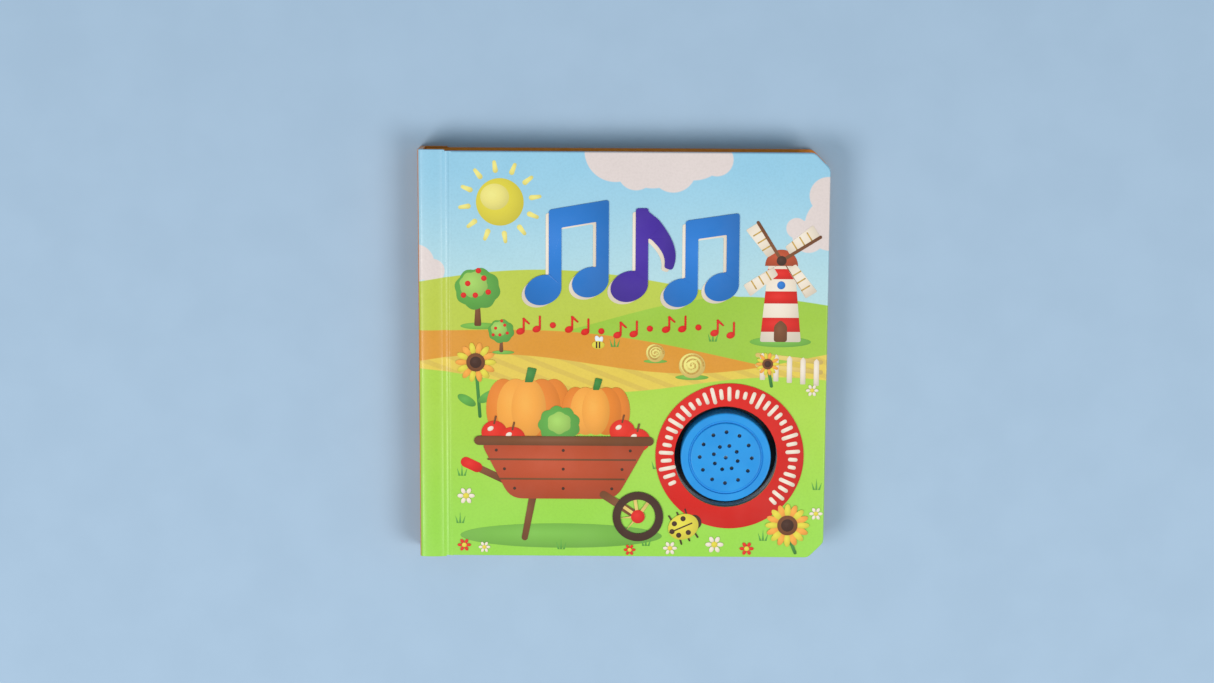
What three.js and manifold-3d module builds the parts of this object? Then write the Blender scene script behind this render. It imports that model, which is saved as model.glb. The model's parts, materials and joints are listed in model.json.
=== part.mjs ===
// Sound book lying on its back cover. Millimetres, +Z up, spine at -X, head of the book at +Y,
// origin under the middle of the back cover.
import * as THREE from 'three';
import { mergeVertices } from 'three/addons/utils/BufferGeometryUtils.js';
import Module from 'manifold-3d';

// Book
const coverWidth = 200;
const coverHeight = 201;
const boardThickness = 2.4;
const wrapThickness = 0.3;
const liningThickness = 0.3;
const leafThickness = 1.5;
const leafCount = 5;
const leafSlit = 0.12;
const slitDepth = 1.2;
const spacerThickness = 8.5;
const square = 2.8;
const cornerCut = 7.6;
const cornerSoftening = 1.6;
const edgeRounding = 0.8;
const turnInWidth = 1.6;

// Spine, fixed strip beside it and the groove that the front cover turns in
const spineThickness = 2.0;
const stripWidth = 9.6;
const stripOverhang = 0.6;
const stripFall = 0.9;
const shoulderWidth = 2.4;
const shoulderDrop = 1.6;
const grooveWidth = 2.8;
const grooveDepth = 0.8;
const hingeSlit = 0.3;
const spineCornerRadius = 1.2;

// Round window for the button, measured from the fore edge and the tail
const windowFromFore = 49;
const windowFromTail = 51;
const windowRadius = 25.35;

// Button and its module
const buttonRadius = 22.2;
const buttonRise = 2.0;
const buttonTravel = 2.0;
const buttonWall = 1.5;
const buttonFace = 1.6;
const buttonEdge = 0.7;
const trackRadius = 17.8;
const trackWidth = 1.0;
const trackDepth = 0.7;
const discRise = 0.35;
const discEdge = 0.55;
const trackLip = 0.25;
const grilleHoleRadius = 1.0;
const grilleRings = [
  { radius: 12.8, count: 12, firstAngle: 89 },
  { radius: 6.1, count: 8, firstAngle: 74 },
];
const slideClearance = 0.3;
const lugReach = 1.8;
const lugHeight = 1.6;
const lugSpan = 24;
const lugCount = 3;

const drumRadius = 31.5;
const drumWall = 1.5;
const drumFloor = 1.2;
const pocketClearance = 0.5;
const ringThickness = 1.3;
const underPages = 0.3;
const sleeveWall = 1.2;
const sleeveHeight = 6;
const deckThickness = 1.0;
const bossRadius = 2.6;
const bossCount = 3;
const screwShankRadius = 1.0;
const screwHeadRadius = 2.0;
const screwHeadHeight = 0.9;
const screwFit = 0.1;
const screwBite = 3.6;
const headRimShare = 0.5;
const headCrownShare = 0.8;
const recessHalfWidth = 0.28;
const recessFloorShare = 0.45;

// Battery bay in the back cover
const cellRadius = 5.8;
const cellHeight = 5.4;
const cellGap = 0.1;
const cellCount = 3;
const cellCrimp = 0.5;
const cellRounding = 0.25;
const contactThickness = 0.3;
const bayHalf = 14;
const bayCorner = 5;
const bayWall = 1.2;
const doorThickness = 1.2;
const doorRecess = 0.6;
const doorGap = 0.3;
const doorBossAt = 10.2;
const doorBossRadius = 2.2;

// Speaker, circuit board and switch
const boardRadius = 14.6;
const circuitThickness = 1.0;
const seatHeight = 0.6;
const seatWidth = 1.4;
const switchSide = 6;
const switchHeight = 3.5;
const plungerRadius = 1.7;
const plungerHeight = 0.8;
const plungerShare = 0.15;
const pressClearance = 0.05;
const speakerRadius = 18;
const flangeThickness = 1.0;
const flangeWidth = 2.4;
const basketDepth = 2.2;
const basketFloorRadius = 12;
const sheetThickness = 0.5;
const basketSeat = 1.5;
const magnetRadius = 7.5;
const magnetChamfer = 0.6;
const coneThickness = 0.25;
const coneRoll = 2;
const coneEdge = 3;
const coneDip = 0.5;
const rimHeight = 0.5;
const springRadius = 16.7;
const springWire = 0.7;
const springTurns = 5;
const springFlatTurns = 0.75;
const springEvenShare = 0.7;
const springSeat = 0.05;
const leadRadius = 0.5;
const leadSpacing = 3.2;
const leadStraight = 1.5;
const leadBow = 1.2;
const terminalThickness = 0.6;
const chipRadius = 3.4;
const chipHeight = 1.3;
const chipProfile = [[0.8, 0.7], [0.4, 0.95]];

// Levels and places that follow from the sizes above
const backBoardZ = wrapThickness;
const backLiningZ = backBoardZ + boardThickness;
const spacerZ = backLiningZ + liningThickness;
const pagesZ = spacerZ + spacerThickness;
const frontLiningZ = pagesZ + leafCount * leafThickness;
const frontBoardZ = frontLiningZ + liningThickness;
const frontWrapZ = frontBoardZ + boardThickness;
const bookTop = frontWrapZ + wrapThickness;
const halfWidth = coverWidth / 2;
const halfHeight = coverHeight / 2;
const spineX = -halfWidth;
const stripRight = spineX + wrapThickness + spineThickness + stripWidth;
const hingeX = stripRight + grooveWidth / 2;
const frontBoardLeft = stripRight + grooveWidth;
const blockLeft = spineX + wrapThickness + spineThickness;
const windowX = halfWidth - windowFromFore;
const windowY = windowFromTail - halfHeight;

const faceTop = bookTop + buttonRise;
const faceUnder = faceTop - buttonFace;
const ringTop = pagesZ - underPages;
const ringZ = ringTop - ringThickness;
const skirtBottom = ringZ - lugHeight;
const doorZ = doorRecess;
const cellZ = doorZ + doorThickness + contactThickness;
const roofContactZ = cellZ + cellHeight;
const deckZ = roofContactZ + contactThickness;
const deckTop = deckZ + deckThickness;
const sleeveRadius = buttonRadius - buttonWall - slideClearance;
const circuitZ = deckTop + seatHeight;
const switchZ = circuitZ + circuitThickness;
const plungerZ = switchZ + switchHeight;
const plungerTop = plungerZ + plungerHeight;
const speakerTop = faceUnder - rimHeight;
const flangeZ = speakerTop - flangeThickness;
const magnetZ = plungerTop + buttonTravel * (1 - plungerShare) + pressClearance;
const basketZ = flangeZ - basketDepth;
const overlapSkin = 0.5;

// Sides of round forms, by size
const wideSides = 48;
const middleSides = 32;
const smallSides = 20;
const holeSides = 12;

const wasm = await Module();
wasm.setup();

// Turns a closed three.js geometry into a solid that can be joined and cut
function solid(geometry) {
  const bare = geometry.clone();
  bare.deleteAttribute('normal');
  bare.deleteAttribute('uv');
  const merged = mergeVertices(bare, 1e-5);
  return new wasm.Manifold(new wasm.Mesh({
    numProp: 3,
    vertProperties: Float32Array.from(merged.attributes.position.array),
    triVerts: Uint32Array.from(merged.index.array),
  }));
}

// Turns a solid back into a geometry with flat faces
function geometryOf(body) {
  const mesh = body.getMesh();
  const geometry = new THREE.BufferGeometry();
  geometry.setAttribute('position', new THREE.BufferAttribute(mesh.vertProperties, 3));
  geometry.setIndex(new THREE.BufferAttribute(mesh.triVerts, 1));
  geometry.computeVertexNormals();
  return geometry;
}

function box(x0, x1, y0, y1, z0, z1) {
  const geometry = new THREE.BoxGeometry(x1 - x0, y1 - y0, z1 - z0);
  geometry.translate((x0 + x1) / 2, (y0 + y1) / 2, (z0 + z1) / 2);
  return solid(geometry);
}

function prism(points, z0, z1) {
  const shape = new THREE.Shape(points);
  const geometry = new THREE.ExtrudeGeometry(shape, { depth: z1 - z0, bevelEnabled: false });
  geometry.translate(0, 0, z0);
  return solid(geometry);
}

function disc(radius, z0, z1, x = 0, y = 0, sides = middleSides) {
  const geometry = new THREE.CylinderGeometry(radius, radius, z1 - z0, sides);
  geometry.rotateX(Math.PI / 2);
  geometry.translate(x, y, (z0 + z1) / 2);
  return solid(geometry);
}

// Revolves a closed profile of [radius, height] pairs round Z
function revolve(profile, x = 0, y = 0, sides = middleSides) {
  const points = profile.map(([r, z]) => new THREE.Vector2(r, z));
  const onAxis = profile[0][0] === 0 && profile[profile.length - 1][0] === 0;
  if (!onAxis) {
    points.push(points[0].clone());
  }
  const geometry = new THREE.LatheGeometry(points, sides);
  geometry.rotateX(Math.PI / 2);
  geometry.translate(x, y, 0);
  const body = solid(geometry);
  return body.volume() > 0 ? body : solid(flipped(geometry));
}

function flipped(geometry) {
  const index = geometry.index.array;
  for (let i = 0; i < index.length; i += 3) {
    [index[i], index[i + 1]] = [index[i + 1], index[i]];
  }
  return geometry;
}

function ringPrism(inner, outer, z0, z1, x = 0, y = 0, sides = middleSides) {
  return disc(outer, z0, z1, x, y, sides).subtract(disc(inner, z0 - 1, z1 + 1, x, y, sides));
}

const degrees = (angle) => angle * Math.PI / 180;

// Moves every side of a closed outline inwards by a distance
function inset(points, distance) {
  const count = points.length;
  return points.map((point, i) => {
    const before = points[(i + count - 1) % count];
    const after = points[(i + 1) % count];
    const a = point.clone().sub(before).normalize();
    const b = after.clone().sub(point).normalize();
    const normalA = new THREE.Vector2(-a.y, a.x);
    const normalB = new THREE.Vector2(-b.y, b.x);
    const bisector = normalA.clone().add(normalB).normalize();
    return point.clone().addScaledVector(bisector, distance / bisector.dot(normalA));
  });
}

// Outline of a cover or leaf: square at the spine, with cut and softened corners at the fore edge
function leafOutline(left, right, half, cut) {
  const path = new THREE.Path();
  const soft = cornerSoftening;
  const lean = soft * Math.SQRT1_2;
  path.moveTo(left, -half);
  path.lineTo(right - cut - soft, -half);
  path.quadraticCurveTo(right - cut, -half, right - cut + lean, -half + lean);
  path.lineTo(right - lean, -half + cut - lean);
  path.quadraticCurveTo(right, -half + cut, right, -half + cut + soft);
  path.lineTo(right, half - cut - soft);
  path.quadraticCurveTo(right, half - cut, right - lean, half - cut + lean);
  path.lineTo(right - cut + lean, half - lean);
  path.quadraticCurveTo(right - cut, half, right - cut - soft, half);
  path.lineTo(left, half);
  return path.getPoints(2);
}

// Section of the closed case across the spine, seen from the tail: rounded spine edges,
// the crowned strip and the groove beside it
function caseSection() {
  const path = new THREE.Path();
  const shoulderX = spineX + shoulderWidth;
  const crownX = (shoulderX + stripRight) / 2;
  const grooveZ = bookTop - grooveDepth;
  path.moveTo(halfWidth + 1, 0);
  path.lineTo(halfWidth + 1, grooveZ);
  path.lineTo(stripRight + wrapThickness, grooveZ);
  path.quadraticCurveTo(stripRight - stripFall, bookTop - stripFall / 4, crownX, bookTop);
  path.quadraticCurveTo(shoulderX, bookTop, shoulderX - stripFall, bookTop - stripFall / 3);
  path.quadraticCurveTo(spineX, bookTop - stripFall, spineX, bookTop - shoulderDrop - stripFall);
  path.lineTo(spineX, spineCornerRadius);
  path.quadraticCurveTo(spineX, 0, spineX + spineCornerRadius, 0);
  return path.getPoints(5);
}

// The case's solid out to its ends, with the section taken in by a distance
function caseEnvelope(distance) {
  const points = inset(caseSection(), distance);
  const shape = new THREE.Shape(points);
  const reach = coverHeight + 10 * stripOverhang;
  const geometry = new THREE.ExtrudeGeometry(shape, { depth: reach, bevelEnabled: false });
  geometry.rotateX(Math.PI / 2);
  geometry.translate(0, reach / 2, 0);
  return solid(geometry);
}

const backOutline = leafOutline(spineX, halfWidth, halfHeight, cornerCut);
const frontOutline = leafOutline(frontBoardLeft, halfWidth, halfHeight, cornerCut);
const pageHalf = halfHeight - square;
const pageRight = halfWidth - square;
const pageOutline = leafOutline(blockLeft, pageRight, pageHalf, cornerCut);
const stripHalf = halfHeight + stripOverhang;
const liningRight = halfWidth - turnInWidth;
const liningHalf = halfHeight - turnInWidth;
const backLiningOutline = leafOutline(blockLeft, liningRight, liningHalf, cornerCut);
const frontLiningOutline = leafOutline(frontBoardLeft, liningRight, liningHalf, cornerCut);

const group = new THREE.Group();

function add(name, body, colour, roughness, metalness = 0) {
  const material = new THREE.MeshStandardMaterial({ color: colour, roughness, metalness });
  const mesh = new THREE.Mesh(geometryOf(body), material);
  mesh.name = name;
  group.add(mesh);
}

function window(z0, z1, radius = windowRadius) {
  return disc(radius, z0, z1, windowX, windowY, wideSides);
}

// Rounded square round the battery bay
function baySquare(half, corner, z0, z1) {
  const path = new THREE.Path();
  path.absarc(half - corner, half - corner, corner, 0, Math.PI / 2);
  path.absarc(corner - half, half - corner, corner, Math.PI / 2, Math.PI);
  path.absarc(corner - half, corner - half, corner, Math.PI, 1.5 * Math.PI);
  path.absarc(half - corner, corner - half, corner, 1.5 * Math.PI, 2 * Math.PI);
  const points = path.getPoints(3).map((p) => p.add(new THREE.Vector2(windowX, windowY)));
  return prism(dropRepeats(points), z0, z1);
}

function dropRepeats(points) {
  return points.filter((p, i) => p.distanceTo(points[(i + 1) % points.length]) > 1e-6);
}

const bayOuter = bayHalf + bayWall;
const bayHole = (z0, z1) => baySquare(bayOuter + doorGap, bayCorner + bayWall + doorGap, z0, z1);

// Covers, spine and block
const paper = { orange: 0xe0892f, print: 0x98cf5a, white: 0xf2efe6, grey: 0xa8a196 };

// The wrap's edges folded in over the boards, up to the linings, and down the spine at head and tail
function backTurnIn() {
  const fold = prism(leafOutline(blockLeft, halfWidth, halfHeight, cornerCut), backLiningZ, spacerZ)
    .subtract(prism(backLiningOutline, 0, bookTop));
  const spineFold = (y0, y1) => box(blockLeft, blockLeft + wrapThickness, y0, y1,
    spacerZ, frontLiningZ);
  return fold
    .add(spineFold(pageHalf, stripHalf))
    .add(spineFold(-stripHalf, -pageHalf));
}

function frontTurnIn() {
  return prism(frontOutline, frontLiningZ, frontBoardZ)
    .subtract(prism(frontLiningOutline, 0, bookTop));
}

function caseWrap() {
  const t = wrapThickness;
  const slab = prism(backOutline, 0, backLiningZ);
  const spineEnd = hingeX - hingeSlit / 2;
  const spine = box(spineX, spineEnd, -stripHalf, stripHalf, 0, bookTop);
  const slabHollow = prism(inset(backOutline, t), t, bookTop);
  const spineHollow = box(spineX + t, spineEnd + 1, t - stripHalf, stripHalf - t, t, bookTop);
  const outer = slab.add(spine).intersect(caseEnvelope(0));
  const openSide = box(blockLeft, spineEnd + 1, -stripHalf - 1, stripHalf + 1, backLiningZ, frontLiningZ);
  const grooveSide = box(stripRight + t, spineEnd + 1, -stripHalf - 1, stripHalf + 1,
    backLiningZ, bookTop - grooveDepth - t);
  return outer
    .subtract(slabHollow.intersect(caseEnvelope(t)))
    .subtract(spineHollow.intersect(caseEnvelope(t)))
    .subtract(openSide)
    .subtract(grooveSide)
    .add(backTurnIn())
    .subtract(bayHole(-1, spacerZ));
}

function frontShell(distance, z0) {
  const outline = inset(frontOutline, edgeRounding + distance);
  const shape = new THREE.Shape(outline);
  const rounding = edgeRounding;
  const geometry = new THREE.ExtrudeGeometry(shape, {
    depth: boardThickness * 2,
    bevelThickness: rounding,
    bevelSize: rounding,
    bevelSegments: 3,
  });
  geometry.translate(0, 0, bookTop - distance - boardThickness * 2 - rounding);
  const reach = 2 * coverWidth;
  return solid(geometry).intersect(box(-reach, reach, -reach, reach, z0, bookTop));
}

function frontWrap() {
  const t = wrapThickness;
  const grooveZ = bookTop - grooveDepth;
  const edge = hingeX + hingeSlit / 2;
  const section = new THREE.Shape([
    new THREE.Vector2(edge, grooveZ - t),
    new THREE.Vector2(frontBoardLeft - t, grooveZ - t),
    new THREE.Vector2(frontBoardLeft + t, grooveZ - t),
    new THREE.Vector2(frontBoardLeft + t, grooveZ + t),
    new THREE.Vector2(frontBoardLeft, grooveZ + t),
    new THREE.Vector2(frontBoardLeft - t, grooveZ),
    new THREE.Vector2(edge, grooveZ),
  ]);
  const apron = new THREE.ExtrudeGeometry(section, { depth: coverHeight, bevelEnabled: false });
  apron.rotateX(Math.PI / 2);
  apron.translate(0, halfHeight, 0);
  return frontShell(0, frontBoardZ)
    .subtract(frontShell(t, frontBoardZ - 1))
    .add(solid(apron).subtract(frontShell(t, frontBoardZ - 1)))
    .add(frontTurnIn())
    .subtract(window(pagesZ, bookTop + 1));
}

// Board leaves bound along the spine, with fine slits between them at every open edge
function pageBlock() {
  const core = prism(inset(pageOutline, slitDepth), pagesZ, frontLiningZ)
    .add(prism(leafOutline(blockLeft, 0, pageHalf - slitDepth, cornerCut), pagesZ, frontLiningZ))
    .subtract(window(pagesZ - 1, frontLiningZ + 1, windowRadius + slitDepth));
  let block = core;
  for (let leaf = 0; leaf < leafCount; leaf += 1) {
    const z0 = pagesZ + leaf * leafThickness + (leaf > 0 ? leafSlit / 2 : 0);
    const z1 = pagesZ + (leaf + 1) * leafThickness - (leaf < leafCount - 1 ? leafSlit / 2 : 0);
    block = block.add(prism(pageOutline, z0, z1).subtract(window(z0 - 1, z1 + 1)));
  }
  return block;
}

add('case_wrap', caseWrap(), paper.orange, 0.45);
add('back_board',
  prism(inset(backOutline, wrapThickness), backBoardZ, backLiningZ)
    .subtract(box(spineX - 1, blockLeft, -coverHeight, coverHeight, 0, bookTop))
    .subtract(bayHole(-1, spacerZ)),
  paper.grey, 0.95);
add('spine_board',
  box(spineX + wrapThickness, blockLeft, wrapThickness - stripHalf, stripHalf - wrapThickness, 0, bookTop)
    .subtract(box(spineX, blockLeft, halfHeight - wrapThickness, stripHalf, 0, backLiningZ))
    .subtract(box(spineX, blockLeft, -stripHalf, wrapThickness - halfHeight, 0, backLiningZ))
    .intersect(caseEnvelope(wrapThickness)),
  paper.grey, 0.95);
add('hinge_strip',
  box(blockLeft, stripRight, wrapThickness - stripHalf, stripHalf - wrapThickness, frontLiningZ, bookTop)
    .intersect(caseEnvelope(wrapThickness)),
  paper.grey, 0.95);
add('back_lining',
  prism(backLiningOutline, backLiningZ, spacerZ).subtract(bayHole(-1, spacerZ + 1)),
  paper.orange, 0.5);
add('module_spacer',
  prism(pageOutline, spacerZ, pagesZ)
    .subtract(window(spacerZ - 1, pagesZ + 1, drumRadius + pocketClearance)),
  paper.white, 0.9);
add('pages', pageBlock(), paper.white, 0.55);
add('front_lining',
  prism(frontLiningOutline, frontLiningZ, frontBoardZ).subtract(window(0, faceTop)),
  paper.orange, 0.5);
add('front_board', frontShell(wrapThickness, frontBoardZ).subtract(window(0, faceTop)), paper.grey, 0.95);
add('front_wrap', frontWrap(), paper.print, 0.35);

// Module housing
const plastic = { housing: 0x23262b, blue: 0x2a98dc, tan: 0xb98a4e };

function aroundWindow(radius, angle) {
  return [windowX + radius * Math.cos(degrees(angle)), windowY + radius * Math.sin(degrees(angle))];
}

const bossCircle = drumRadius - drumWall - bossRadius + overlapSkin;
const bossAt = (i) => aroundWindow(bossCircle, 90 + i * 360 / bossCount);
const lugAngle = (i) => 30 + i * 360 / lugCount;
const [doorScrewX, doorScrewY] = [windowX + doorBossAt, windowY + doorBossAt];
const doorUnder = doorZ + doorThickness;

function moduleBase() {
  const drum = disc(drumRadius, spacerZ, ringZ, windowX, windowY, wideSides)
    .subtract(disc(drumRadius - drumWall, spacerZ + drumFloor, ringZ + 1, windowX, windowY, wideSides));
  const bay = baySquare(bayOuter, bayCorner + bayWall, doorZ, deckZ + overlapSkin);
  const deck = disc(sleeveRadius, deckZ, deckTop, windowX, windowY);
  const sleeve = ringPrism(sleeveRadius - sleeveWall, sleeveRadius, deckTop - overlapSkin,
    deckTop + sleeveHeight, windowX, windowY);
  const seat = ringPrism(boardRadius - seatWidth, boardRadius, deckTop - overlapSkin, circuitZ,
    windowX, windowY);
  let base = drum.add(bay).add(deck).add(sleeve).add(seat);
  for (let i = 0; i < bossCount; i += 1) {
    const [x, y] = bossAt(i);
    base = base.add(disc(bossRadius, spacerZ, ringZ, x, y, smallSides));
    base = base.subtract(disc(screwShankRadius + screwFit, ringZ - screwBite, ringZ + 1, x, y, holeSides));
  }
  const cavity = baySquare(bayHalf, bayCorner, doorZ - 1, deckZ);
  const doorBoss = disc(doorBossRadius, doorUnder + doorGap, deckZ + overlapSkin,
    doorScrewX, doorScrewY, smallSides);
  return base
    .subtract(cavity)
    .add(doorBoss)
    .subtract(disc(screwShankRadius + screwFit, doorUnder - 1, doorUnder + screwBite + doorGap,
      doorScrewX, doorScrewY, holeSides));
}

function moduleCover() {
  let ring = ringPrism(buttonRadius + slideClearance, drumRadius, ringZ, ringTop,
    windowX, windowY, wideSides);
  for (let i = 0; i < bossCount; i += 1) {
    const [x, y] = bossAt(i);
    ring = ring
      .subtract(disc(screwShankRadius + screwFit, ringZ - 1, ringTop + 1, x, y, holeSides))
      .subtract(disc(screwHeadRadius + screwFit, ringTop - screwHeadHeight, ringTop + 1, x, y, smallSides));
  }
  return ring;
}

// Pan-head screw along Z with a cross recess, its head at a given level and its point in a given sense
function screw(x, y, headZ, sense, length) {
  const profile = [
    [0, 0],
    [screwHeadRadius, 0],
    [screwHeadRadius, screwHeadHeight * headRimShare],
    [screwHeadRadius * headCrownShare, screwHeadHeight],
    [0, screwHeadHeight],
  ];
  const recess = (a, b) => box(-a, a, -b, b, screwHeadHeight * recessFloorShare, screwHeadHeight + 1);
  const body = revolve(profile, 0, 0, smallSides)
    .add(disc(screwShankRadius, -length, 0.1, 0, 0, holeSides))
    .subtract(recess(screwShankRadius, recessHalfWidth))
    .subtract(recess(recessHalfWidth, screwShankRadius));
  const turned = sense > 0 ? body.rotate([180, 0, 0]) : body;
  return turned.translate([x, y, headZ]);
}

add('module_base', moduleBase(), plastic.housing, 0.6);
add('module_cover', moduleCover(), plastic.housing, 0.6);
for (let i = 0; i < bossCount; i += 1) {
  const [x, y] = bossAt(i);
  add(`cover_screw_${i + 1}`,
    screw(x, y, ringTop - screwHeadHeight, -1, ringThickness + screwBite - screwHeadHeight - screwFit),
    0xb8bcc0, 0.35, 1);
}

// Battery bay: door, screw, three cells and their contacts
const cellCircle = (cellRadius + cellGap) / Math.cos(Math.PI / 6);
const cellAt = (i) => aroundWindow(cellCircle, 270 + i * 360 / cellCount);

function contact(a, b, z, width) {
  const [ax, ay] = a;
  const [bx, by] = b;
  const half = width / 2;
  const along = Math.atan2(by - ay, bx - ax);
  const path = new THREE.Path();
  path.absarc(ax, ay, half, along + Math.PI / 2, along + 1.5 * Math.PI);
  path.absarc(bx, by, half, along - Math.PI / 2, along + Math.PI / 2);
  return prism(dropRepeats(path.getPoints(4)), z, z + contactThickness);
}

function batteryDoor() {
  const tongue = box(windowX - bayHalf / 2, windowX + bayHalf / 2,
    windowY - bayHalf + doorGap, windowY - bayHalf + doorGap + bayWall, doorUnder - overlapSkin,
    doorUnder + contactThickness);
  return baySquare(bayHalf - doorGap, bayCorner - doorGap, doorZ, doorUnder)
    .add(tongue)
    .subtract(disc(screwShankRadius + screwFit, 0, bookTop, doorScrewX, doorScrewY, holeSides))
    .subtract(disc(screwHeadRadius + screwFit, 0, doorZ + screwHeadHeight,
      doorScrewX, doorScrewY, smallSides));
}

add('battery_door', batteryDoor(), plastic.housing, 0.6);
add('battery_door_screw',
  screw(doorScrewX, doorScrewY, doorZ + screwHeadHeight, 1, doorThickness + screwBite - screwHeadHeight),
  0xb8bcc0, 0.35, 1);
for (let i = 0; i < cellCount; i += 1) {
  const [x, y] = cellAt(i);
  const profile = [
    [0, cellZ],
    [cellRadius - cellCrimp, cellZ],
    [cellRadius, cellZ + cellCrimp],
    [cellRadius, cellZ + cellHeight - cellRounding],
    [cellRadius - cellRounding, cellZ + cellHeight],
    [0, cellZ + cellHeight],
  ];
  add(`battery_${i + 1}`, revolve(profile, x, y), 0xc8ccd0, 0.3, 1);
}
add('contact_roof', contact(cellAt(0), cellAt(1), roofContactZ, cellRadius), 0xc9b04a, 0.35, 1);
add('contact_door', contact(cellAt(1), cellAt(2), doorUnder, cellRadius), 0xc9b04a, 0.35, 1);
add('terminal_positive',
  contact(cellAt(2), aroundWindow(cellCircle + cellRadius / 2, 150), roofContactZ, cellRadius / 2),
  0xc9b04a, 0.35, 1);
add('terminal_negative',
  contact(cellAt(0), aroundWindow(cellCircle + cellRadius / 2, 270), doorUnder, cellRadius / 2),
  0xc9b04a, 0.35, 1);

// Circuit board, chip and switch
add('circuit_board', disc(boardRadius, circuitZ, switchZ, windowX, windowY), 0x2c6b3a, 0.5);
add('sound_chip',
  revolve([
    [0, switchZ],
    [chipRadius, switchZ],
    ...chipProfile.map(([across, up]) => [chipRadius * across, switchZ + chipHeight * up]),
    [0, switchZ + chipHeight],
  ], windowX, windowY + boardRadius / 2 + chipRadius / 2, 24),
  0x111111, 0.4);
add('switch_body',
  box(windowX - switchSide / 2, windowX + switchSide / 2, windowY - switchSide / 2,
    windowY + switchSide / 2, switchZ, plungerZ)
    .subtract(disc(plungerRadius + slideClearance, plungerZ - plungerHeight, bookTop,
      windowX, windowY, smallSides)),
  0x1b1b1b, 0.5);
add('switch_plunger',
  disc(plungerRadius, plungerZ - plungerHeight + buttonTravel * plungerShare + pressClearance, plungerTop,
    windowX, windowY, smallSides),
  0xd8d4cc, 0.5);

// Button: a cup with a grille in its face, a ring groove round it and lugs that hold it down
function buttonCup() {
  const bottom = skirtBottom;
  const inner = buttonRadius - buttonWall;
  const trackIn = trackRadius - trackWidth / 2;
  const trackOut = trackRadius + trackWidth / 2;
  const discTop = faceTop + discRise;
  const roundNear = buttonEdge * (1 - Math.cos(degrees(30)));
  const roundFar = buttonEdge * (1 - Math.sin(degrees(30)));
  const cup = revolve([
    [0, discTop],
    [trackIn - discEdge, discTop],
    [trackIn - discEdge / 3, discTop - discRise / 3],
    [trackIn, faceTop],
    [trackIn, faceTop - trackDepth],
    [trackOut, faceTop - trackDepth],
    [trackOut, faceTop - trackLip],
    [trackOut + trackLip, faceTop],
    [buttonRadius - buttonEdge, faceTop],
    [buttonRadius - roundFar, faceTop - roundNear],
    [buttonRadius - roundNear, faceTop - roundFar],
    [buttonRadius, faceTop - buttonEdge],
    [buttonRadius, bottom],
    [inner, bottom],
    [inner, faceUnder],
    [speakerRadius, faceUnder],
    [speakerRadius, speakerTop],
    [speakerRadius - flangeWidth / 2, speakerTop],
    [speakerRadius - flangeWidth / 2, faceUnder],
    [0, faceUnder],
  ], windowX, windowY, wideSides);
  let body = cup;
  for (let i = 0; i < lugCount; i += 1) {
    body = body.add(lug(i));
  }
  body = body.subtract(grilleHole(windowX, windowY));
  for (const ring of grilleRings) {
    for (let i = 0; i < ring.count; i += 1) {
      const [x, y] = aroundWindow(ring.radius, ring.firstAngle - i * 360 / ring.count);
      body = body.subtract(grilleHole(x, y));
    }
  }
  return body;
}

function grilleHole(x, y) {
  return disc(grilleHoleRadius, faceUnder - 1, faceTop + discRise + 1, x, y, holeSides);
}

function lug(i) {
  const path = new THREE.Path();
  const from = degrees(lugAngle(i) - lugSpan / 2);
  const to = degrees(lugAngle(i) + lugSpan / 2);
  path.absarc(windowX, windowY, buttonRadius + lugReach, from, to, false);
  path.absarc(windowX, windowY, buttonRadius - overlapSkin, to, from, true);
  return prism(dropRepeats(path.getPoints(3)), skirtBottom, ringZ);
}

add('button', buttonCup(), plastic.blue, 0.4);

// Speaker glued under the button's face
const basketRim = speakerRadius - flangeWidth;
const basketTop = flangeZ + sheetThickness;

function speakerFrame() {
  return revolve([
    [speakerRadius, speakerTop],
    [speakerRadius, flangeZ],
    [basketRim, flangeZ],
    [basketFloorRadius, basketZ],
    [magnetRadius - basketSeat, basketZ],
    [magnetRadius - basketSeat, basketZ + sheetThickness],
    [basketFloorRadius - sheetThickness / 2, basketZ + sheetThickness],
    [basketRim - sheetThickness, basketTop],
    [speakerRadius - flangeWidth / 2, basketTop],
    [speakerRadius - flangeWidth / 2, speakerTop],
  ], windowX, windowY);
}

function speakerCone() {
  const t = coneThickness;
  const rim = speakerRadius - flangeWidth / 2 - cellGap;
  const z = basketTop;
  const upper = [
    [rim, z + t],
    [rim - coneRoll, z + t * 2],
    [rim - coneEdge, z + t],
    [magnetRadius, z - coneDip + t],
    [magnetRadius / 2, z + t * 2],
    [0, z + t * 3],
  ];
  const lower = upper.map(([r, height]) => [r, height - t]).reverse();
  return revolve([...lower, ...upper], windowX, windowY);
}

add('speaker_frame', speakerFrame(), 0x8f9397, 0.4, 1);
add('speaker_cone', speakerCone(), 0xd9d2bd, 0.5);
add('speaker_magnet', revolve([
  [0, magnetZ],
  [magnetRadius - magnetChamfer, magnetZ],
  [magnetRadius, magnetZ + magnetChamfer],
  [magnetRadius, basketZ],
  [0, basketZ],
], windowX, windowY), 0x9a9da1, 0.35, 1);

const tabHalf = leadSpacing;
const tabFar = windowX - basketFloorRadius;
const tabNear = windowX - magnetRadius - slideClearance;
add('speaker_terminals',
  box(tabFar, tabNear, windowY - tabHalf, windowY + tabHalf, basketZ - terminalThickness, basketZ),
  plastic.tan, 0.6);

// Sweeps a round section along a curve
function sweep(curve, radius, steps, sides) {
  const path = new THREE.Path();
  path.absarc(0, 0, radius, 0, 2 * Math.PI);
  const section = new THREE.Shape(dropRepeats(path.getPoints(sides / 2)));
  return solid(new THREE.ExtrudeGeometry(section, { steps, extrudePath: curve, bevelEnabled: false }));
}

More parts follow.
